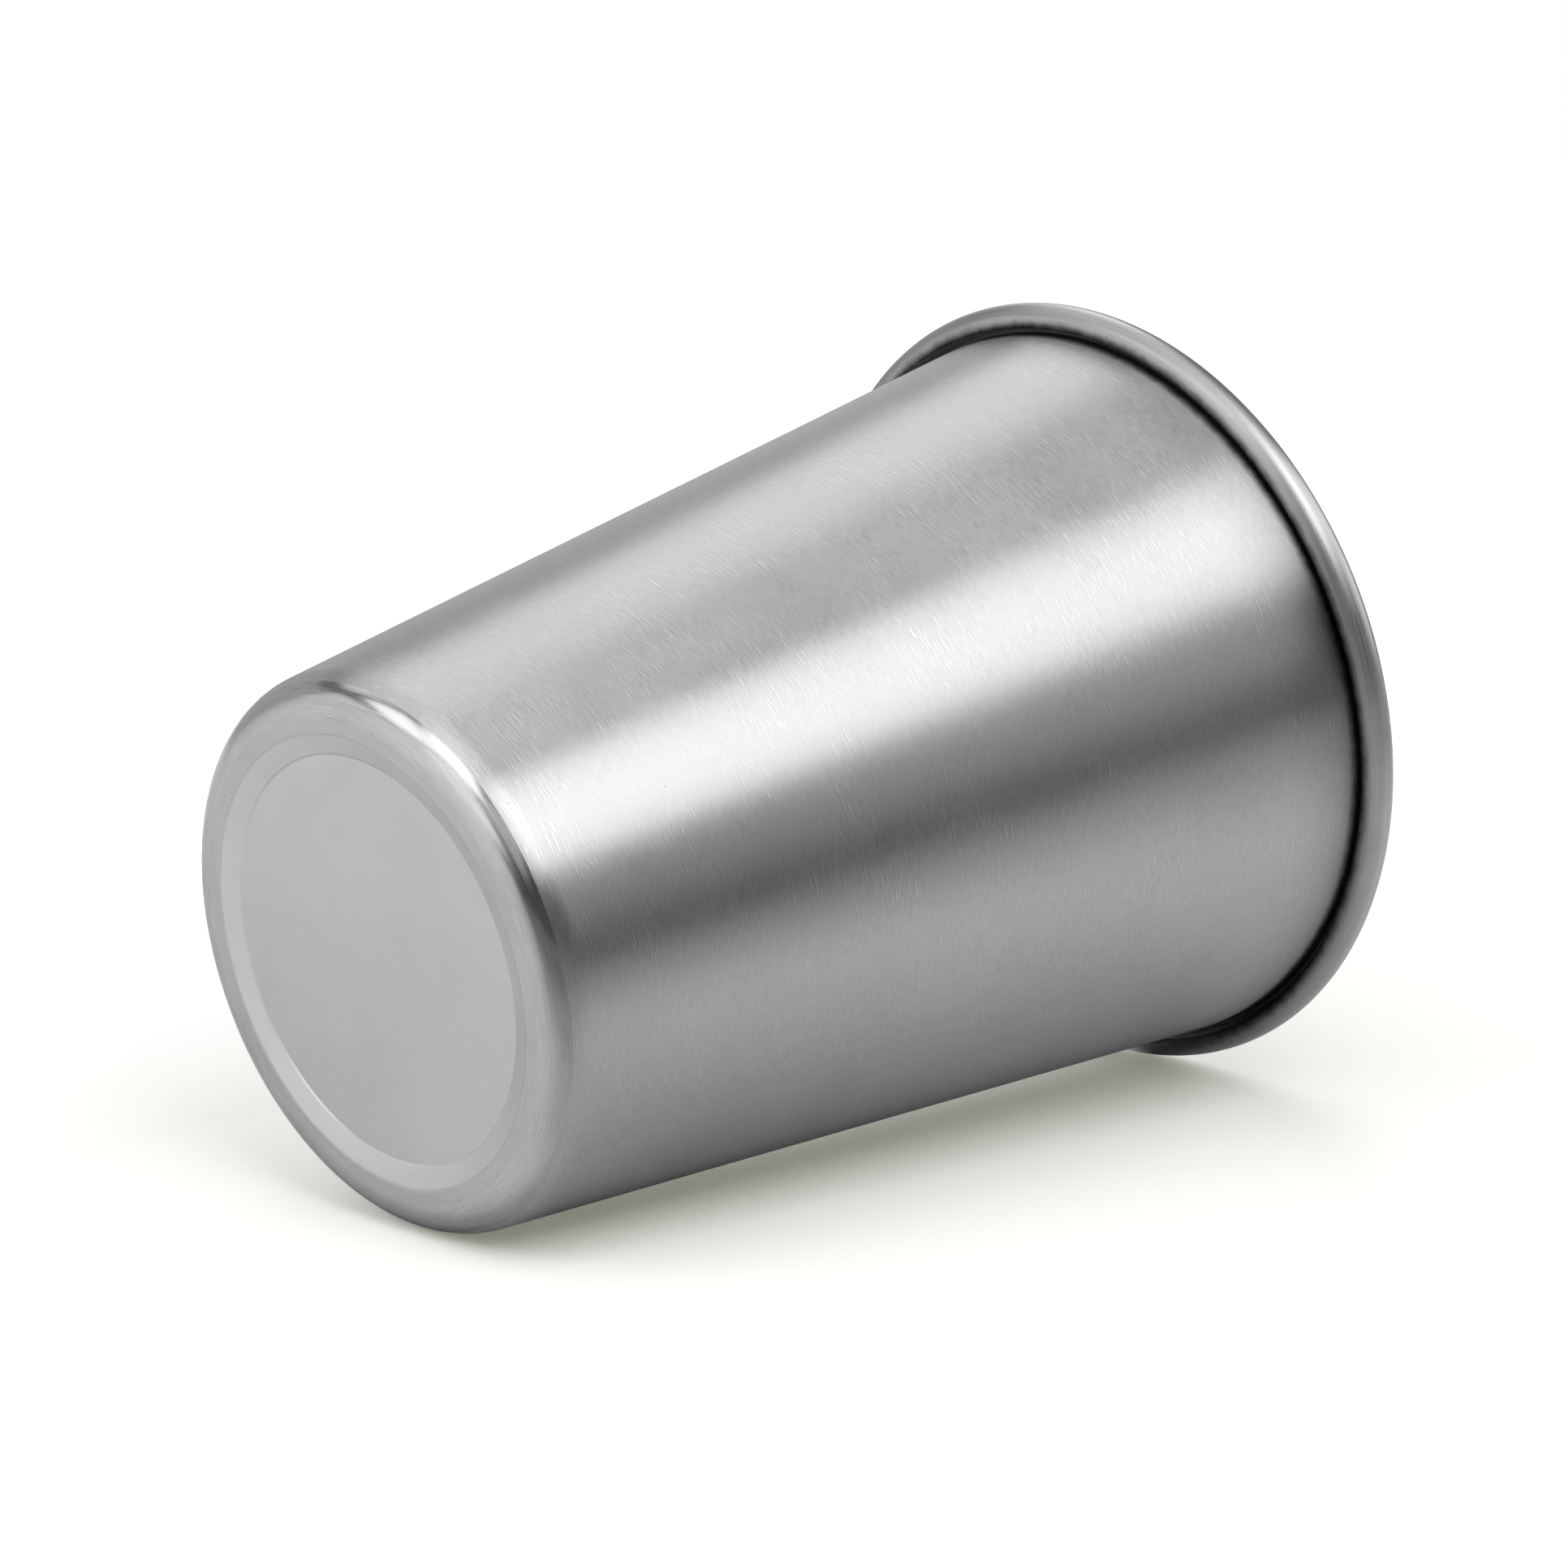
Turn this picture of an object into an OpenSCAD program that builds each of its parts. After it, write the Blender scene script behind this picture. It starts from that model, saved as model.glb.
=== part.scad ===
// Single-wall tapered drinking cup, drawn from one blank of sheet and rolled outwards at the rim.
// Its section is laid out in the half plane (distance from the axis, height above the table) and spun round the axis.
// The middle line of the sheet runs from the axis, under the foot and up the wall, as straight runs with round bends.

/* [Cup] */
// Height from the table to the top of the rolled rim
cup_h = 115; // [80:1:180]
// Outside diameter over the rolled rim
rim_d = 94; // [88:0.5:120]
// Outside diameter that the wall would have at the table if its corner were sharp
foot_d = 63.2; // [60:0.2:78]

/* [Sheet] */
// Thickness of the sheet
sheet_t = 0.6; // [0.4:0.05:0.9]

/* [Rolled rim] */
// Outside diameter of the rolled tube
curl_d = 3.9; // [3:0.1:6]
// Angle that the sheet is rolled through, which leaves a slot between its cut edge and the wall
curl_wrap = 285; // [200:5:305]

/* [Base] */
// Outside radius of the corner between wall and base
corner_r = 4.5; // [2:0.1:5.5]
// Width of the ring that the cup stands on, from the corner's round to the band inside it
ring_w = 1.6; // [0.6:0.1:2.4]
// Height that the sloping band inside the ring climbs
band_rise = 0.75; // [0.3:0.05:1.2]
// Outside radius of the bend between ring and band
band_bend_r = 1.5; // [1:0.1:2.5]
// Diameter of the flat disc in the middle
disc_d = 46.6; // [30:0.2:47.2]
// Height of the step from the band up to the disc
step_h = 0.15; // [0.1:0.05:0.4]
// Slope of that step
step_angle = 30; // [20:1:45]
// Inside radius of the two bends of the step
step_bend_r = 0.05; // [0.02:0.01:0.1]

/* [Hidden] */
$fn = 96;
half_t = sheet_t / 2;
// Each bend reaches this far past its tangent lines, so that it crosses them cleanly
graze = 0.001;
// Angle by which the slot under the rim starts below the point where the roll leaves the wall
slot_lap = 1;

// Rolled rim: the wall's inside face touches the tube's outside
curl_r = curl_d / 2;
curl_centre = [rim_d / 2 - curl_r, cup_h - curl_r];
foot_point = [foot_d / 2, 0];
to_curl = curl_centre - foot_point;
wall_gap = curl_r - graze - sheet_t;
wall_angle = atan2(to_curl.y, to_curl.x) + asin(wall_gap / norm(to_curl));
curl_start = wall_angle + 90;
slot_end = curl_start + 360 - curl_wrap;
wall_top = curl_centre + (wall_gap + half_t) * along(curl_start);
mouth_edge = curl_centre + (wall_gap + sheet_t) * along(curl_start);

// Base: radii at which its runs would meet
foot_mid_r = foot_point.x - half_t * tan(wall_angle / 2);
ring_inner_r = foot_point.x - corner_r * tan(wall_angle / 2) - ring_w;
band_inner_r = disc_d / 2 + step_h / tan(step_angle);
disc_mid_z = band_rise + step_h + half_t;

// Middle line of the sheet, and the radius of its bend at each point
middle_line = [
    [0, disc_mid_z],
    [disc_d / 2, disc_mid_z],
    [band_inner_r, band_rise + half_t],
    [ring_inner_r, half_t],
    [foot_mid_r, half_t],
    wall_top
];
bend_radii = [0, step_bend_r + half_t, step_bend_r + half_t, band_bend_r - half_t, corner_r - half_t, 0];
last = len(middle_line) - 1;

function along(angle) = [cos(angle), sin(angle)];
function direction(a, b) = atan2(b.y - a.y, b.x - a.x);
function angle_before(i) = direction(middle_line[i - 1], middle_line[i]);
function angle_after(i) = direction(middle_line[i], middle_line[i + 1]);
function turn(i) = angle_after(i) - angle_before(i);
// 1 where the line turns up, towards the inside of the cup, and -1 where it turns down
function side(i) = sign(turn(i));
function tangent_r(i) = bend_radii[i] - graze;
// Length that a bend takes off the runs on both sides
function trim(i) = tangent_r(i) * tan(abs(turn(i)) / 2);
function bend_centre(i) =
    middle_line[i] - trim(i) * along(angle_before(i)) + side(i) * tangent_r(i) * along(angle_before(i) + 90);
// Ends of the runs before and after a bend, on the face that lies d outside the middle line
function face_ends(i, d) = [
    middle_line[i] - trim(i) * along(angle_before(i)) + d * along(angle_before(i) - 90),
    middle_line[i] + trim(i) * along(angle_after(i)) + d * along(angle_after(i) - 90)
];

// Pie slice about the origin, with a fan of straight edges for its arc
module slice(r, from, to) {
    steps = ceil((to - from) / 45);
    polygon([[0, 0], for (i = [0:steps]) r * along(from + (to - from) * i / steps)]);
}

// Round ends of the bends that turn one way, on the face that lies d outside the middle line
module bend_discs(way, d) {
    for (i = [1:last - 1])
        if (side(i) == way)
            translate(bend_centre(i)) circle(bend_radii[i] + way * d);
}

// Everything between the axis and the face of the sheet that lies d outside its middle line
module filled(d) {
    difference() {
        union() {
            polygon([
                middle_line[0] - [0, d],
                for (i = [1:last - 1]) each face_ends(i, d),
                wall_top + d * along(wall_angle - 90),
                mouth_edge,
                [0, mouth_edge.y]
            ]);
            bend_discs(1, d);
        }
        bend_discs(-1, d);
    }
}

// Base, corner and wall
module drawn_section() {
    difference() {
        filled(half_t);
        filled(-half_t);
    }
}

// Circle about the middle of the roll, its first point turned into the slot so that no seam runs along the tube
module curl_circle(r) {
    translate(curl_centre) rotate((curl_start + slot_end) / 2) circle(r);
}

// Hollow of the rolled rim, and the slot that leads into it along the wall
module roll_opening() {
    curl_circle(curl_r - sheet_t);
    difference() {
        translate(curl_centre) slice(2 * curl_r, curl_start + slot_lap, slot_end);
        filled(half_t);
    }
}

module cup() {
    color("silver")
        rotate_extrude()
            difference() {
                union() {
                    drawn_section();
                    curl_circle(curl_r);
                }
                roll_opening();
            }
}

cup();
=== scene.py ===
import math

import bpy
from mathutils import Matrix, Vector


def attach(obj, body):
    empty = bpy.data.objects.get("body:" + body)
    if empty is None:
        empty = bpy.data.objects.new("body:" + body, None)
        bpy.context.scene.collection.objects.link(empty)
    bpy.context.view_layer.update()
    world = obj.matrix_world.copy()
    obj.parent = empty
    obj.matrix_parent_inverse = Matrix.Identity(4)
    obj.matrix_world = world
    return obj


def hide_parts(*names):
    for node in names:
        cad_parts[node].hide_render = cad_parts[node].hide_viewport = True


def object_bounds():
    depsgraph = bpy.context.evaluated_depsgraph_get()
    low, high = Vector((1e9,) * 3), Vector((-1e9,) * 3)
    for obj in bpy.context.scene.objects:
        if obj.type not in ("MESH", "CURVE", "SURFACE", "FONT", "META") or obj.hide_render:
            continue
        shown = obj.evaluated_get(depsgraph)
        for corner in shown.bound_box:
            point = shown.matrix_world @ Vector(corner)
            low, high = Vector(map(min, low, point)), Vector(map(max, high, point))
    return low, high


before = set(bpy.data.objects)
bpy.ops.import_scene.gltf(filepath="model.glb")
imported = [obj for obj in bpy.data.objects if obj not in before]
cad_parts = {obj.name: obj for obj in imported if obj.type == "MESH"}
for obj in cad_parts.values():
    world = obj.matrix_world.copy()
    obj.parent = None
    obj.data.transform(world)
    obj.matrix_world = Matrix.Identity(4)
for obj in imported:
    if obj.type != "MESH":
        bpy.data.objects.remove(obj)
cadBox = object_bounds()
mm = 0.001


# Places round the cup: an angle round its axis, a distance from it and a height above its foot
def around(angle, radius, height):
    a = math.radians(angle)
    return Vector((radius * math.cos(a), radius * math.sin(a), height))


def along(angle):
    return Vector((math.cos(math.radians(angle)), math.sin(math.radians(angle))))


def addObject(name, data):
    made = bpy.data.objects.new(name, data)
    bpy.context.scene.collection.objects.link(made)
    return made


# The cup's section, as (distance from the axis, height), follows the middle line of the sheet
cup = {
    "sheet": 0.6 * mm,
    "footDiameter": 63.2 * mm,  # what the wall would measure at the table with a sharp corner
    "cornerRadius": 4.5 * mm,
    "brushedFrom": 55,  # degrees from facing the table at which the corner takes the wall's brushing
    "ringWidth": 1.6 * mm,
    "bandRise": 0.75 * mm,
    "bandBendRadius": 1.5 * mm,
    "discDiameter": 46.6 * mm,
    "stepHeight": 0.15 * mm,
    "stepAngle": 30,
    "stepBendRadius": 0.05 * mm,
    "curlDiameter": 3.9 * mm,
    "curlWrap": 285,  # degrees of roll, which leave a slot beside the wall
    "stepsAround": 360,
    "bendStep": 6,  # degrees between points on a bend
    "runStep": 4 * mm,  # distance between points on a straight run
    "onAxis": 1e-4 * mm,  # points nearer the axis than this are one point
}

halfSheet = cup["sheet"] / 2
rimRadius = (cadBox[1].x - cadBox[0].x) / 2
cupHeight = cadBox[1].z - cadBox[0].z
curlRadius = cup["curlDiameter"] / 2
curlCentre = Vector((rimRadius - curlRadius, cupHeight - curlRadius))
footPoint = Vector((cup["footDiameter"] / 2, 0))
toCurl = curlCentre - footPoint
wallAngle = math.degrees(
    math.atan2(toCurl.y, toCurl.x) + math.asin((curlRadius - cup["sheet"]) / toCurl.length)
)


# Corners of the middle line, each with the radius of its bend and the surface that it bends in
def middleLine():
    ringOuter = footPoint.x - cup["cornerRadius"] * math.tan(math.radians(wallAngle / 2))
    discRadius = cup["discDiameter"] / 2
    stepFoot = discRadius + cup["stepHeight"] / math.tan(math.radians(cup["stepAngle"]))
    footMiddle = footPoint.x - halfSheet * math.tan(math.radians(wallAngle / 2))
    wallTop = curlCentre + (curlRadius - halfSheet) * along(wallAngle + 90)
    bandHeight = cup["bandRise"] + halfSheet
    discHeight = bandHeight + cup["stepHeight"]
    stepBend = cup["stepBendRadius"] + halfSheet
    return [
        (Vector((0, discHeight)), 0, "disc"),
        (Vector((discRadius, discHeight)), stepBend, "band"),
        (Vector((stepFoot, bandHeight)), stepBend, "band"),
        (Vector((ringOuter - cup["ringWidth"], halfSheet)), cup["bandBendRadius"] - halfSheet, "ring"),
        (Vector((footMiddle, halfSheet)), cup["cornerRadius"] - halfSheet, "corner"),
        (wallTop, 0, "curl"),
    ]


# Points of a bend on the face that lies offset outside the middle line, each with the angle of its
# outward normal and its surface
def bendPoints(centre, side, radius, offset, start, turn, surface):
    steps = max(2, math.ceil(abs(turn) / cup["bendStep"]))
    angles = [start + turn * i / steps for i in range(steps + 1)]
    points = []
    for a in angles:
        name = "wall" if surface == "corner" and a > cup["brushedFrom"] else surface
        points.append((centre + side * (radius + side * offset) * along(a - 90), a - 90, name))
    return points


def runPoints(a, b, normal, surface):
    steps = max(1, math.ceil((b - a).length / cup["runStep"]))
    return [(a.lerp(b, i / steps), normal, surface) for i in range(1, steps)]


# One face of the sheet, from the axis to the cut edge inside the roll. A point's surface ends at it.
def sheetFace(offset):
    line = middleLine()
    directions = []
    for (a, _, _), (b, _, _) in zip(line, line[1:]):
        directions.append(math.degrees(math.atan2(b.y - a.y, b.x - a.x)))
    runSurface = "disc"
    points = [(line[0][0] + offset * along(directions[0] - 90), directions[0] - 90, runSurface)]
    for i in range(1, len(line) - 1):
        corner, radius, surface = line[i]
        before, after = directions[i - 1], directions[i]
        side = math.copysign(1, after - before)
        trim = radius * math.tan(math.radians(abs(after - before) / 2))
        centre = corner - trim * along(before) + side * radius * along(before + 90)
        bend = bendPoints(centre, side, radius, offset, before, after - before, surface)
        points += runPoints(points[-1][0], bend[0][0], before - 90, runSurface)
        points += [bend[0][:2] + (runSurface,)] + bend[1:]
        runSurface = "wall" if surface == "corner" else surface
    roll = bendPoints(
        curlCentre, -1, curlRadius - halfSheet, offset, wallAngle, -cup["curlWrap"], "curl"
    )
    points += runPoints(points[-1][0], roll[0][0], wallAngle - 90, "wall")
    return points + [roll[0][:2] + ("wall",)] + roll[1:]


surfaces = ["disc", "band", "ring", "corner", "wall", "rim", "inside"]  # material slots of the cup


def surfaceOf(name, offset):
    if offset > 0:
        return "inside" if name == "curl" else name
    return "rim" if name == "curl" else "inside"


# Closed outline of the sheet: out along its outer face, across the cut edge and back along its inner face.
# Each entry is a stretch between two points, with the normals at its ends and its surface.
def outline():
    stretches = []
    outer, inner = sheetFace(halfSheet), sheetFace(-halfSheet)
    for a, b in zip(outer, outer[1:]):
        stretches.append((a[0], b[0], along(a[1]), along(b[1]), surfaceOf(b[2], 1)))
    cut = along(outer[-1][1] + 90)
    stretches.append((outer[-1][0], inner[-1][0], cut, cut, "rim"))
    for a, b in zip(reversed(inner), reversed(inner[:-1])):
        stretches.append((a[0], b[0], -along(a[1]), -along(b[1]), surfaceOf(a[2], -1)))
    return stretches


def cupMesh():
    stretches = outline()
    n = cup["stepsAround"]
    turns = [2 * math.pi * i / n for i in range(n)]
    rows, verts = [], []
    for point in [s[0] for s in stretches] + [stretches[-1][1]]:
        if point.x < cup["onAxis"]:
            rows.append([len(verts)] * n)
            verts.append((0, 0, point.y))
        else:
            rows.append(list(range(len(verts), len(verts) + n)))
            verts += [(point.x * math.cos(t), point.x * math.sin(t), point.y) for t in turns]
    faces, kinds, normals = [], [], []
    for row, (a, b, normalA, normalB, surface) in enumerate(stretches):
        for i in range(n):
            j = (i + 1) % n
            corners = [(rows[row][i], i, normalA), (rows[row][j], j, normalA),
                       (rows[row + 1][j], j, normalB), (rows[row + 1][i], i, normalB)]
            if a.x < cup["onAxis"]:
                corners.pop(1)
            elif b.x < cup["onAxis"]:
                corners.pop(2)
            faces.append([c[0] for c in corners])
            kinds.append(surfaces.index(surface))
            for _, turn, normal in corners:
                normals.append((normal.x * math.cos(turns[turn]), normal.x * math.sin(turns[turn]), normal.y))
    mesh = bpy.data.meshes.new("cup_shell")
    mesh.from_pydata(verts, [], faces)
    mesh.polygons.foreach_set("material_index", kinds)
    mesh.polygons.foreach_set("use_smooth", [True] * len(faces))
    mesh.normals_split_custom_set(normals)
    return mesh


print("cup: section of the sheet and its round")
shell = addObject("cup_shell", cupMesh())
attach(shell, "root")
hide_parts("cup")


# Nodes: links inputs by name and keeps the scripts for materials short
def addNode(tree, kind, values=None, **settings):
    node = tree.nodes.new(kind)
    for name, value in settings.items():
        setattr(node, name, value)
    for name, value in (values or {}).items():
        socket = node.inputs[name]
        if isinstance(value, bpy.types.NodeSocket):
            tree.links.new(value, socket)
        else:
            socket.default_value = value
    return node


def addMath(tree, operation, *values):
    return addNode(tree, "ShaderNodeMath", dict(enumerate(values)), operation=operation).outputs[0]


def addVectorMath(tree, operation, *values):
    node = addNode(tree, "ShaderNodeVectorMath", dict(enumerate(values)), operation=operation)
    return node.outputs["Value" if operation in ("LENGTH", "DISTANCE", "DOT_PRODUCT") else "Vector"]


def addRange(tree, value, fromLow, fromHigh, toLow=0, toHigh=1, smooth=True):
    return addNode(
        tree,
        "ShaderNodeMapRange",
        {"Value": value, "From Min": fromLow, "From Max": fromHigh, "To Min": toLow, "To Max": toHigh},
        interpolation_type="SMOOTHSTEP" if smooth else "LINEAR",
    ).outputs["Result"]


def addMix(tree, factor, a, b):
    node = addNode(tree, "ShaderNodeMix", data_type="RGBA")
    for index, value in ((0, factor), (6, a), (7, b)):
        if isinstance(value, bpy.types.NodeSocket):
            tree.links.new(value, node.inputs[index])
        else:
            node.inputs[index].default_value = value
    return node.outputs[2]


# Grey ramp over a value: pairs of the value and the grey there
def addRamp(tree, value, *stops):
    last = stops[-1][0]
    node = addNode(tree, "ShaderNodeValToRGB", {"Fac": addMath(tree, "DIVIDE", value, last)})
    elements = node.color_ramp.elements
    while len(elements) < len(stops):
        elements.new(0.5)
    for element, (place, shade) in zip(elements, stops):
        element.position = place / last
        element.color = grey(shade)
    return node.outputs["Color"]


def grey(value, tint=(1, 1, 1)):
    return (value * tint[0], value * tint[1], value * tint[2], 1)


# Builds a shader node group: its inputs with their usual values, and one output made by the script given
def newGroup(name, inputs, output, build):
    tree = bpy.data.node_groups.new(name, "ShaderNodeTree")
    for socketName, value in inputs.items():
        socket = tree.interface.new_socket(socketName, in_out="INPUT", socket_type="NodeSocketFloat")
        socket.default_value = value
    tree.interface.new_socket(output, in_out="OUTPUT", socket_type="NodeSocketFloat")
    given = tree.nodes.new("NodeGroupInput").outputs
    tree.links.new(build(tree, given), tree.nodes.new("NodeGroupOutput").inputs[output])
    return tree


def placeGroup(tree, group, **values):
    node = tree.nodes.new("ShaderNodeGroup")
    node.node_tree = group
    for name, value in values.items():
        node.inputs[name].default_value = value
    return node.outputs[0]


def addScale(tree, vector, factor):
    return addVectorMath(tree, "SCALE", vector, (0, 0, 0), (0, 0, 0), factor)


def addCombine(tree, x=0, y=0, z=0):
    return addNode(tree, "ShaderNodeCombineXYZ", {"X": x, "Y": y, "Z": z}).outputs[0]


def addPart(tree, vector, axis):
    return addNode(tree, "ShaderNodeSeparateXYZ", {0: vector}).outputs[axis]


def inMillimetres(tree):
    return addScale(tree, addNode(tree, "ShaderNodeTexCoord").outputs["Object"], 1 / mm)


# Way out from the axis, its length and the height, all in millimetres
def sectionPlace(tree):
    place = inMillimetres(tree)
    flat = addVectorMath(tree, "MULTIPLY", place, (1, 1, 0))
    return flat, addVectorMath(tree, "LENGTH", flat), addPart(tree, place, "Z")


# How far a place on the cup faces a direction round the axis: 1 straight on, 0 at a quarter turn
def addFacing(tree, flat, direction):
    outwards = addVectorMath(tree, "NORMALIZE", flat)
    return addVectorMath(tree, "DOT_PRODUCT", outwards, tuple(around(direction, 1, 0)))


noiseRange = (0.3, 0.7)  # where most of a noise's values lie

# What all finishes of the cup share. Lengths are in millimetres, and directions in degrees round the axis.
marks = {
    "steelTint": (0.98, 1, 1.014),
    "brushingTurn": 0.25,  # of a turn, which lays the gloss's long axis along the cup
    "scratchLength": 2.2,
    "scratchWidth": 0.14,
    "scratchSlant": 0.03,
    "scratchRarity": 0.66,
    "scratchEdge": 0.07,
    "scratchShadow": 0.9,  # of a width, from a scratch's painted highlight to its painted shadow
    "patchScale": 0.09,  # patches of scratches to the millimetre
    "patchRarity": 0.43,
    "patchEdge": 0.12,
    "wornSide": -35,  # where the cup has most scratches
    "wornBetween": (0.1, 0.8),  # from facing across that side to facing it
    "unwornShare": 0.3,
    "pitSpacing": 1.6,
    "pitSize": 0.13,
    "pitDepth": 2,  # as a multiple of the grain's
    "smudgeSpread": 13,
    "smudgeRoughness": (-0.02, 0.03),
    "grainSpread": 7,  # size of the places where the grain comes and goes
    "grainPlaces": (0.35, 0.62),  # values of that noise between which it comes
    "grainStrength": (0.6, 1.15),
    "gapWobble": 0.08,
    "gapDarkness": 0.04,  # brightness left in the gap
    "gapBelow": (0.2, 1),  # the painted shade starts between these distances below the middle of the roll
    "shadedSide": 113,  # where the gap's painted shade reaches furthest, the side the cup lies on
    "shadedFrom": 0.4,  # where that starts, from 0 across that side to 1 on it
    "seedStep": 7.3,  # from one surface to the next
    "scratchSeed": 40,
    "grainSeed": 20,
}


# Place in a noise whose cells are drawn out round the axis, across being the place along the section
def drawnOut(tree, flat, length, across):
    roundPart = addVectorMath(tree, "DIVIDE", flat, addCombine(tree, x=length, y=length, z=1))
    return addVectorMath(tree, "ADD", roundPart, addCombine(tree, z=across))


# Marks of turning, polishing and brushing
def buildGrain(tree, given):
    flat, radius, height = sectionPlace(tree)
    across = addMath(tree, "DIVIDE", addMath(tree, "ADD", radius, height), given["Width"])
    place = drawnOut(tree, flat, given["Length"], addMath(tree, "ADD", across, given["Seed"]))
    return addNode(
        tree,
        "ShaderNodeTexNoise",
        {"Vector": place, "Scale": 1, "Detail": given["Detail"], "Roughness": 0.6},
    ).outputs["Fac"]


# Short single scratches: the peaks of a drawn-out noise, kept only in some patches
def buildScratches(tree, given):
    flat, radius, height = sectionPlace(tree)
    slope = addMath(tree, "MULTIPLY", addPart(tree, flat, "X"), given["Slant"])
    travelled = addMath(tree, "ADD", addMath(tree, "ADD", radius, height), slope)
    across = addMath(tree, "ADD", addMath(tree, "DIVIDE", travelled, given["Width"]), given["Seed"])
    place = drawnOut(tree, flat, given["Length"], across)
    scratch = addNode(tree, "ShaderNodeTexNoise", {"Vector": place, "Scale": 1, "Detail": 0})
    cloud = addNode(
        tree,
        "ShaderNodeTexNoise",
        {"Vector": inMillimetres(tree), "Scale": marks["patchScale"], "Detail": 1},
    )
    patchEnd = addMath(tree, "ADD", given["Patch Start"], marks["patchEdge"])
    patch = addRange(tree, cloud.outputs["Fac"], given["Patch Start"], patchEnd)
    peakEnd = addMath(tree, "ADD", given["Threshold"], marks["scratchEdge"])
    peak = addRange(tree, scratch.outputs["Fac"], given["Threshold"], peakEnd)
    worn = addFacing(tree, flat, marks["wornSide"])
    worn = addRange(tree, worn, *marks["wornBetween"], marks["unwornShare"], 1)
    return addMath(tree, "MULTIPLY", peak, addMath(tree, "MULTIPLY", patch, worn))


# Tiny pits and specks, one in some of the cells of a grid of the given spacing
def buildPits(tree, given):
    place = addVectorMath(tree, "ADD", inMillimetres(tree), addCombine(tree, x=given["Seed"]))
    cells = addNode(
        tree,
        "ShaderNodeTexVoronoi",
        {"Vector": place, "Scale": addMath(tree, "DIVIDE", 1, given["Spacing"]), "Randomness": 1},
    )
    reach = addMath(tree, "DIVIDE", given["Size"], given["Spacing"])
    dot = addRange(tree, cells.outputs["Distance"], addMath(tree, "MULTIPLY", reach, 0.5), reach, 1, 0)
    chosen = addMath(tree, "LESS_THAN", addPart(tree, cells.outputs["Color"], "X"), given["Share"])
    return addMath(tree, "MULTIPLY", dot, chosen)


# Cloudy handling marks
def buildSmudges(tree, given):
    place = addVectorMath(tree, "ADD", inMillimetres(tree), addCombine(tree, z=given["Seed"]))
    scale = addMath(tree, "DIVIDE", 1, given["Spread"])
    return addNode(
        tree,
        "ShaderNodeTexNoise",
        {"Vector": place, "Scale": scale, "Detail": 3, "Roughness": 0.55, "Distortion": 0.6},
    ).outputs["Fac"]


# Painted shade in the narrow gap under the rolled rim, which fades out along the wall and round the tube, and
# a fainter painted shade further down the wall
def buildGap(tree, given):
    flat, radius, height = sectionPlace(tree)
    deep = (curlCentre - curlRadius * along(wallAngle - 90)) / mm  # where the tube comes nearest the wall
    away = addMath(tree, "POWER", addMath(tree, "SUBTRACT", radius, deep.x), 2)
    below = addMath(tree, "POWER", addMath(tree, "SUBTRACT", height, deep.y), 2)
    distance = addMath(tree, "SQRT", addMath(tree, "ADD", away, below))
    # The painted shade reaches further on the side the cup lies on
    shadedSideReach = addFacing(tree, flat, marks["shadedSide"])
    shadedSideReach = addRange(tree, shadedSideReach, marks["shadedFrom"], 1, 0, given["Shaded Side Reach"])
    distance = addMath(tree, "SUBTRACT", distance, shadedSideReach)
    uneven = addNode(tree, "ShaderNodeTexNoise", {"Vector": inMillimetres(tree), "Scale": 0.6, "Detail": 2})
    wobble = addRange(tree, uneven.outputs["Fac"], *noiseRange, -marks["gapWobble"], marks["gapWobble"])
    dark = addRange(tree, addMath(tree, "ADD", distance, wobble), given["Clear"], given["Dark"])
    # A faint painted shade reaches further down the wall from the rim
    faintShade = addRange(tree, distance, given["Faint Shade Reach"], given["Dark"])
    faintShade = addMath(tree, "MULTIPLY", faintShade, given["Faint Shade"])
    # None of it gets inside the mouth
    start, end = marks["gapBelow"]
    underRim = addRange(tree, height, curlCentre.y / mm - start, curlCentre.y / mm - end)
    return addMath(tree, "MULTIPLY", addMath(tree, "MAXIMUM", dark, faintShade), underRim)


grain = newGroup(
    "turnedGrain",
    {"Length": 2, "Width": 0.16, "Detail": 2, "Seed": 0},
    "Value",
    buildGrain,
)
scratches = newGroup(
    "shortScratches",
    {"Length": 1.6, "Width": 0.16, "Slant": 0, "Threshold": 0.72, "Patch Start": 0.5, "Seed": 0},
    "Mask",
    buildScratches,
)
pits = newGroup("pits", {"Spacing": 2, "Size": 0.12, "Share": 0.3, "Seed": 0}, "Mask", buildPits)
smudges = newGroup("smudges", {"Spread": 14, "Seed": 0}, "Value", buildSmudges)
# Painted shade under the rolled rim
paintedGapShade = newGroup(
    "paintedGapShade",
    {"Clear": 4, "Dark": 1.6, "Faint Shade Reach": 13, "Faint Shade": 0.2, "Shaded Side Reach": 1},
    "Mask",
    buildGap,
)
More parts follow.
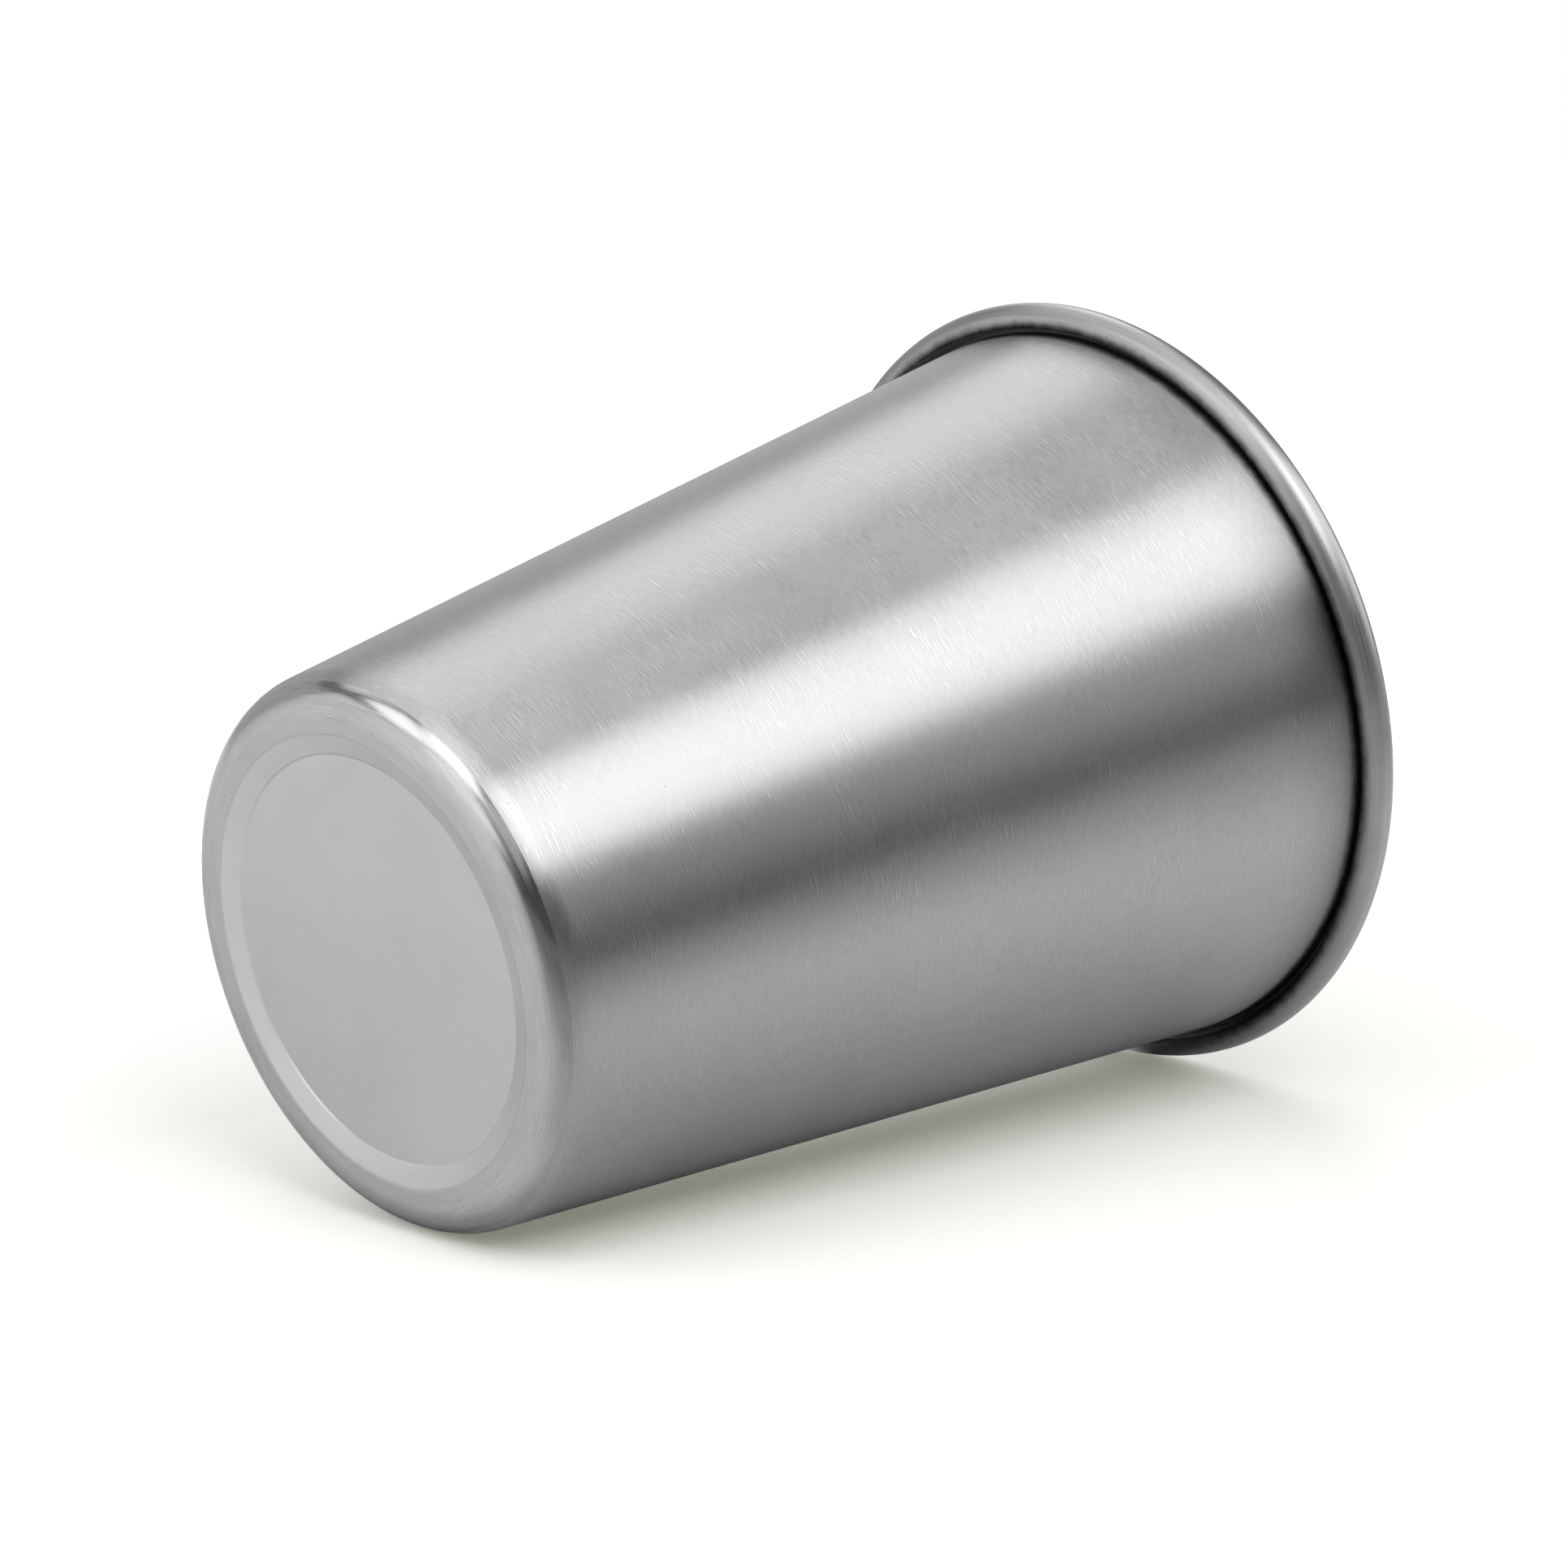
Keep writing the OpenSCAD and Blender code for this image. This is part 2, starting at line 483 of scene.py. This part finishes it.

# How each surface of the cup is finished. Lengths are in millimetres. The brightness is partly the finish and
# partly painted light: each surface was set as light as it shows, the inside lighter than the wall.
finishes = {
    "wall": {
        "brightness": 0.6, "roughness": 0.42, "anisotropic": 0.9, "streakLength": 1.3, "streakWidth": 0.17,
        "streakContrast": 0.13, "streakRoughness": 0.05, "bump": 0.0014, "scratchBrightness": 0.33,
        "scratchDarkness": 0.2, "pitDarkness": 0.5, "pitShare": 0.05, "smudgeContrast": 0.04,
        "gapClear": 3.5, "gapDark": 1.6, "gapShadedSideReach": 1.1,
    },
    "corner": {
        "brightness": 0.57, "roughness": 0.21, "anisotropic": 0.2, "streakLength": 4, "streakWidth": 0.18,
        "streakContrast": 0.14, "streakRoughness": 0.03, "bump": 0.0009, "scratchBrightness": 0.15,
        "scratchDarkness": 0.1, "pitDarkness": 0.4, "pitShare": 0.06, "smudgeContrast": 0.06,
        "edgeRoughness": 0.42, "edgeHeights": (0.25, 0.7),
    },
    "ring": {
        "brightness": 0.565, "roughness": 0.45, "anisotropic": 0.2, "streakLength": 12, "streakWidth": 0.16,
        "streakContrast": 0.1, "streakRoughness": 0.05, "bump": 0.001, "scratchBrightness": 0.1,
        "scratchDarkness": 0.1, "pitDarkness": 0.5, "pitShare": 0.3, "smudgeContrast": 0.05,
    },
    "band": {
        "brightness": 0.66, "roughness": 0.32, "anisotropic": 0, "streakLength": 9, "streakWidth": 0.2,
        "streakContrast": 0.03, "streakRoughness": 0.02, "bump": 0.0002, "scratchBrightness": 0.03,
        "scratchDarkness": 0.02, "pitDarkness": 0.3, "pitShare": 0.06, "smudgeContrast": 0.03,
    },
    "disc": {
        "brightness": 0.655, "roughness": 0.5, "anisotropic": 0, "streakLength": 0.25, "streakWidth": 0.25,
        "streakContrast": 0.04, "streakRoughness": 0.04, "bump": 0.0008, "scratchBrightness": 0.04,
        "scratchDarkness": 0.03, "pitDarkness": 0.15, "pitShare": 0.2, "smudgeContrast": 0.03,
    },
    "rim": {
        "brightness": 0.55, "roughness": 0.4, "anisotropic": 0.3, "streakLength": 14, "streakWidth": 0.25,
        "streakContrast": 0.1, "streakRoughness": 0.05, "bump": 0.001, "scratchBrightness": 0.08,
        "scratchDarkness": 0.05, "pitDarkness": 0.4, "pitShare": 0.1, "smudgeContrast": 0.08,
        "gapClear": 3.6, "gapDark": 2.3, "gapShadedSideReach": 0.3,
    },
    "inside": {
        "brightness": 0.7, "roughness": 0.4, "anisotropic": 0.7, "streakLength": 1.4, "streakWidth": 0.2,
        "streakContrast": 0.14, "streakRoughness": 0.05, "bump": 0.0012, "scratchBrightness": 0.15,
        "scratchDarkness": 0.15, "pitDarkness": 0.4, "pitShare": 0.08, "smudgeContrast": 0.06,
    },
}


def steelMaterial(name, look, seed):
    material = bpy.data.materials.new("steel_" + name)
    material.use_nodes = True
    tree = material.node_tree
    shader = tree.nodes["Principled BSDF"]
    shader.inputs["Metallic"].default_value = 1
    shader.inputs["Anisotropic"].default_value = look["anisotropic"]
    shader.inputs["Anisotropic Rotation"].default_value = marks["brushingTurn"]
    tangent = addNode(tree, "ShaderNodeTangent", direction_type="RADIAL", axis="Z")
    tree.links.new(tangent.outputs[0], shader.inputs["Tangent"])
    values = {"Length": look["streakLength"], "Width": look["streakWidth"], "Detail": 2, "Seed": seed}
    streaks = placeGroup(tree, grain, **values)
    # Each scratch gets a painted highlight on one edge and, just beside it, a painted shadow, which make it
    # look raised
    values = {
        "Length": marks["scratchLength"],
        "Width": marks["scratchWidth"],
        "Slant": marks["scratchSlant"],
        "Threshold": marks["scratchRarity"],
        "Patch Start": marks["patchRarity"],
    }
    paintedScratchHighlights = placeGroup(tree, scratches, **values, Seed=seed + marks["scratchSeed"])
    beside = seed + marks["scratchSeed"] + marks["scratchShadow"]
    paintedScratchShadows = placeGroup(tree, scratches, **values, Seed=beside)
    values = {"Spacing": marks["pitSpacing"], "Size": marks["pitSize"], "Share": look["pitShare"]}
    holes = placeGroup(tree, pits, **values, Seed=seed)
    clouds = placeGroup(tree, smudges, Spread=marks["smudgeSpread"], Seed=seed)
    # The grain comes and goes over the surface
    places = placeGroup(tree, smudges, Spread=marks["grainSpread"], Seed=seed + marks["grainSeed"])
    strength = addRange(tree, places, *marks["grainPlaces"], *marks["grainStrength"])
    contrast = look["streakContrast"] * 4  # the noise keeps within a quarter of its middle
    streak = addMath(tree, "MULTIPLY", addMath(tree, "SUBTRACT", streaks, 0.5), contrast)
    shade = addMath(tree, "ADD", 1, addMath(tree, "MULTIPLY", streak, strength))
    smudge = look["smudgeContrast"]
    cloud = addRange(tree, clouds, *noiseRange, 1 - smudge, 1 + smudge, smooth=False)
    pit = addMath(tree, "SUBTRACT", 1, addMath(tree, "MULTIPLY", holes, look["pitDarkness"]))
    shade = addMath(tree, "MULTIPLY", addMath(tree, "MULTIPLY", shade, cloud), pit)
    # Painted highlights and painted shadows along the scratches
    shade = addMath(tree, "ADD", shade, addMath(tree, "MULTIPLY", paintedScratchHighlights, look["scratchBrightness"]))
    shade = addMath(tree, "SUBTRACT", shade, addMath(tree, "MULTIPLY", paintedScratchShadows, look["scratchDarkness"]))
    # Painted shade in the gap under the rolled rim
    if "gapDark" in look:
        values = {"Clear": look["gapClear"], "Dark": look["gapDark"], "Shaded Side Reach": look["gapShadedSideReach"]}
        gapShadeMask = placeGroup(tree, paintedGapShade, **values)
        shown = addRange(tree, gapShadeMask, 0, 1, 1, marks["gapDarkness"], smooth=False)
        shade = addMath(tree, "MULTIPLY", shade, shown)
    red, green, blue, _ = grey(look["brightness"], marks["steelTint"])
    bare = addCombine(tree, x=red, y=green, z=blue)
    tree.links.new(addScale(tree, bare, shade), shader.inputs["Base Color"])
    rough = look["roughness"]
    wear = look["streakRoughness"]
    roughness = addMath(
        tree,
        "ADD",
        addRange(tree, streaks, *noiseRange, rough - wear, rough + wear, smooth=False),
        addRange(tree, clouds, *noiseRange, *marks["smudgeRoughness"], smooth=False),
    )
    if "edgeRoughness" in look:  # the corner takes on the ring's duller finish towards the table
        height = addPart(tree, inMillimetres(tree), "Z")
        extra = addRange(tree, height, *look["edgeHeights"], look["edgeRoughness"] - rough, 0)
        roughness = addMath(tree, "ADD", roughness, extra)
    tree.links.new(roughness, shader.inputs["Roughness"])
    relief = addMath(tree, "SUBTRACT", streaks, addMath(tree, "MULTIPLY", holes, marks["pitDepth"]))
    bump = addNode(tree, "ShaderNodeBump", {"Height": relief, "Strength": 1, "Distance": look["bump"] * mm})
    tree.links.new(bump.outputs["Normal"], shader.inputs["Normal"])
    return material


print("cup: materials")
for index, name in enumerate(surfaces):
    shell.data.materials.append(steelMaterial(name, finishes[name], marks["seedStep"] * index))


# The cup lies on its side, so the floor and the camera stand askew in its frame
setting = {
    "up": Vector((0.3914065, -0.9100836, 0.1361937)),
    "cameraPlace": Vector((500.40, 0, -341.89)) * mm,
    "cameraAim": Vector((2.57, -2.05, 60.69)) * mm,
    "lens": 128.494,
    "sensor": 36,
    "roomBrightness": 0.06,
    "roomInMetal": (0.06, 0.7),  # above the floor and below it
    "horizon": (-0.04, -0.2),  # sines of the angles over which one turns into the other
}

# Here "out" is how far a place lies from the cup's axis: positive in front of the cup and negative behind it.
# Heights run along the axis, from foot to mouth. Lengths are in millimetres unless they say otherwise.
floorLook = {
    "depth": 31.217 * mm,  # from the origin to the floor, which the foot corner and the rim touch
    "size": 1.9,  # in metres
    "colour": (0.95, 0.95, 0.95),
    # Pairs of a distance and a brightness
    # The glow's ramp and colour paint part of the shadow: weaker and warmer near the cup
    "glow": ((0, 0.2), (60, 0.2), (100, 0.15), (160, 0.38), (250, 0.9), (400, 0.9)),
    "glowColour": (1, 0.985, 0.78),
    "glowTurnsWhite": (45, 120),
    "shadowHeights": (25, 170),
    # The floor's colour in the metal is painted shade: darker near the cup, beside its base and far out in
    # front
    "inMetal": ((0, 0.5), (42, 0.5), (72, 0.72), (95, 0.79), (330, 0.83), (480, 0.98), (900, 0.98)),
    "outInMetal": ((0, 1), (40, 1), (100, 0.86), (145, 0.68), (200, 0.52), (400, 0.38), (750, 0.22)),
    "baseReach": 10,  # each millimetre beyond the base, up to this many,
    "baseStretch": 8,  # adds so many to a place's distance from the cup
    "outBeyondBase": 0.06,  # share that out grows by for each millimetre beyond the base
    "besideBase": 0.3,  # painted shade: how much darker the floor is on either side, beyond the base
    "besideBaseStarts": (0, 4),  # distances beyond the base
    "besideBaseFades": (60, 10),
    "besideBaseFrom": (10, 35),  # out, on either side
    "strip": (6, -1, -260, -160),  # out, between the near edge's two ends and the far edge's
    "stripHeights": (2, 11),
}
up = setting["up"].normalized()
middle = Vector((0, 0, cupHeight / 2))


def turned(right, top, back, place):
    return Matrix.Translation(place) @ Matrix((right, top, back)).transposed().to_4x4()


def addCamera():
    data = bpy.data.cameras.new("camera")
    data.sensor_width = setting["sensor"]
    data.lens = setting["lens"]
    camera = addObject("camera", data)
    forward = (setting["cameraAim"] - setting["cameraPlace"]).normalized()
    right = forward.cross(up).normalized()
    camera.matrix_world = turned(right, right.cross(forward), -forward, setting["cameraPlace"])
    bpy.context.scene.camera = camera


# Distance of a place from the stretch of the cup's axis between two heights
def fromAxis(tree, place, height, low, high):
    nearest = addNode(tree, "ShaderNodeClamp", {"Value": height, "Min": low, "Max": high}).outputs[0]
    return addVectorMath(tree, "DISTANCE", place, addCombine(tree, z=nearest))


# Floor as the metal sees it, with painted shade: greyer near the cup, beside its base and far out
def floorInMetal(tree, height, out, away):
    beyondBase = addMath(tree, "MAXIMUM", addMath(tree, "MULTIPLY", height, -1), 0)
    nearBase = addMath(tree, "MINIMUM", beyondBase, floorLook["baseReach"])
    further = addMath(tree, "ADD", away, addMath(tree, "MULTIPLY", nearBase, floorLook["baseStretch"]))
    colour = addRamp(tree, further, *floorLook["inMetal"])
    beside = addMath(
        tree,
        "MULTIPLY",
        addRange(tree, beyondBase, *floorLook["besideBaseStarts"]),
        addRange(tree, beyondBase, *floorLook["besideBaseFades"]),
    )
    eitherSide = addRange(tree, addMath(tree, "ABSOLUTE", out), *floorLook["besideBaseFrom"])
    beside = addMath(tree, "MULTIPLY", beside, eitherSide)
    shade = addMath(tree, "SUBTRACT", 1, addMath(tree, "MULTIPLY", beside, floorLook["besideBase"]))
    colour = addScale(tree, colour, shade)
    spread = addMath(tree, "ADD", 1, addMath(tree, "MULTIPLY", beyondBase, floorLook["outBeyondBase"]))
    outward = addMath(tree, "MULTIPLY", out, spread)
    return addVectorMath(tree, "MULTIPLY", colour, addRamp(tree, outward, *floorLook["outInMetal"]))


# The strip that the cup lies on. The metal sees through it, so that the cup's underside isn't black.
def stripUnderCup(tree, height, out):
    nearStart, nearEnd, farEnd, farStart = floorLook["strip"]
    across = addMath(
        tree, "MULTIPLY", addRange(tree, out, nearStart, nearEnd), addRange(tree, out, farEnd, farStart)
    )
    return addMath(tree, "MULTIPLY", across, addRange(tree, height, *floorLook["stripHeights"]))


def floorMaterial():
    material = bpy.data.materials.new("floor")
    material.use_nodes = True
    tree = material.node_tree
    tree.nodes.clear()
    path = addNode(tree, "ShaderNodeLightPath").outputs
    inMetal = addMath(tree, "MAXIMUM", path["Is Glossy Ray"], path["Is Transmission Ray"])
    place = inMillimetres(tree)
    height = addPart(tree, place, "Z")
    outwards = Vector((0, 0, 1)).cross(up).normalized()
    out = addVectorMath(tree, "DOT_PRODUCT", place, tuple(outwards))
    away = fromAxis(tree, place, height, 0, cupHeight / mm)
    colour = addMix(tree, inMetal, (*floorLook["colour"], 1), floorInMetal(tree, height, out, away))
    surface = addNode(tree, "ShaderNodeBsdfDiffuse", {"Color": colour}).outputs[0]
    # A glow that only the camera sees turns the floor white round the shadow. The glow is weaker and warm
    # near the cup, which paints part of the shadow: how far it shows and its warm tint.
    fromShadow = fromAxis(tree, place, height, *floorLook["shadowHeights"])
    glow = addMath(tree, "MULTIPLY", addRamp(tree, fromShadow, *floorLook["glow"]), path["Is Camera Ray"])
    turnsWhite = addRange(tree, away, *floorLook["glowTurnsWhite"])
    tint = addMix(tree, turnsWhite, (*floorLook["glowColour"], 1), grey(1))
    glow = addNode(tree, "ShaderNodeEmission", {"Color": tint, "Strength": glow}).outputs[0]
    bright = addNode(tree, "ShaderNodeAddShader", {0: surface, 1: glow}).outputs[0]
    clear = addNode(tree, "ShaderNodeBsdfTransparent").outputs[0]
    below = addNode(tree, "ShaderNodeNewGeometry").outputs["Backfacing"]
    strip = addMath(tree, "MULTIPLY", stripUnderCup(tree, height, out), inMetal)
    gone = addMath(tree, "MAXIMUM", below, strip)
    mixed = addNode(tree, "ShaderNodeMixShader", {0: gone, 1: bright, 2: clear}).outputs[0]
    addNode(tree, "ShaderNodeOutputMaterial", {"Surface": mixed})
    return material


# Floor: pale to the camera, with a shadow partly painted by its glow, greyer in the metal with painted shade
# near the cup, and gone when looked at from below
def addFloor():
    ahead = up.cross(Vector((0, 0, 1))).normalized()
    beside = up.cross(ahead)
    half = floorLook["size"] / 2
    centre = -up * floorLook["depth"]
    corners = ((-1, -1), (1, -1), (1, 1), (-1, 1))
    mesh = bpy.data.meshes.new("floor")
    mesh.from_pydata([centre + half * (a * ahead + b * beside) for a, b in corners], [], [(0, 1, 2, 3)])
    if mesh.polygons[0].normal.dot(up) < 0:
        mesh.flip_normals()
    mesh.materials.append(floorMaterial())
    floor = addObject("floor", mesh)


# The room: white to the camera, dim in the metal above the floor, and pale below it
def addRoom():
    world = bpy.data.worlds.new("room")
    bpy.context.scene.world = world
    world.use_nodes = True
    tree = world.node_tree
    tree.nodes.clear()
    path = addNode(tree, "ShaderNodeLightPath").outputs
    inMetal = addMath(tree, "MAXIMUM", path["Is Glossy Ray"], path["Is Transmission Ray"])
    direction = addNode(tree, "ShaderNodeTexCoord").outputs["Generated"]
    upwards = addVectorMath(tree, "DOT_PRODUCT", direction, tuple(up))
    low, high = setting["roomInMetal"]
    seen = addMix(tree, addRange(tree, upwards, *setting["horizon"]), grey(low), grey(high))
    colour = addMix(tree, inMetal, grey(setting["roomBrightness"]), seen)
    colour = addMix(tree, path["Is Camera Ray"], colour, grey(1))
    background = addNode(tree, "ShaderNodeBackground", {"Color": colour}).outputs[0]
    addNode(tree, "ShaderNodeOutputWorld", {"Surface": background})


# Soft boxes round the cup. Each spans two angles round its axis, from straight up to the near side, and two
# angles from the way its mouth points, and has a brightness that a white card would show.
softBoxes = {
    "key": (22, 60, 46, 76, 1.25),
    "keyBase": (22, 59, 78, 114, 3.3),
    "keyFoot": (22, 50, 116, 150, 0.6),
    "keyRim": (22, 88, 14, 44, 1.5),
    "sideRim": (60, 90, 46, 64, 0.4),
    "top": (-18, 18, 66, 112, 1.15),
    "topBase": (-16, 16, 116, 142, 2.1),
    "topFoot": (-54, 14, 144, 168, 1.25),
    "back": (-51, -20, 66, 112, 0.9),
    "backRim": (-54, -20, 46, 64, 2.0),
    "backBase": (-46, -20, 118, 140, 1.8),
    "far": (-98, -60, 66, 114, 0.4),
    "farRim": (-98, -60, 46, 64, 0.85),
    "farBase": (-98, -53, 116, 140, 0.85),
    "farMouth": (-98, -60, 14, 44, 0.3),
    "farFoot": (-98, -60, 142, 168, 1.2),
}
lamps = {"distance": 1.0, "colour": (1, 0.997, 0.992)}


def addSoftBox(name, fromTurn, toTurn, fromTilt, toTilt, brightness):
    turn = math.radians((fromTurn + toTurn) / 2) + math.atan2(up.y, up.x)
    tilt = math.radians((fromTilt + toTilt) / 2)
    away = Vector((math.sin(tilt) * math.cos(turn), math.sin(tilt) * math.sin(turn), math.cos(tilt)))
    right = Vector((0, 0, 1)).cross(away).normalized()
    data = bpy.data.lights.new(name, "AREA")
    data.shape = "RECTANGLE"
    data.size = 2 * lamps["distance"] * math.sin(tilt) * math.tan(math.radians(toTurn - fromTurn) / 2)
    data.size_y = 2 * lamps["distance"] * math.tan(math.radians(toTilt - fromTilt) / 2)
    data.energy = brightness * math.pi * data.size * data.size_y
    data.color = lamps["colour"]
    lamp = addObject(name, data)
    lamp.matrix_world = turned(right, away.cross(right), away, middle + lamps["distance"] * away)
    lamp.visible_camera = False


print("studio: camera, floor, room and soft boxes")
addCamera()
addFloor()
addRoom()
for name, values in softBoxes.items():
    addSoftBox(name, *values)
bpy.context.scene.view_settings.view_transform = "Standard"
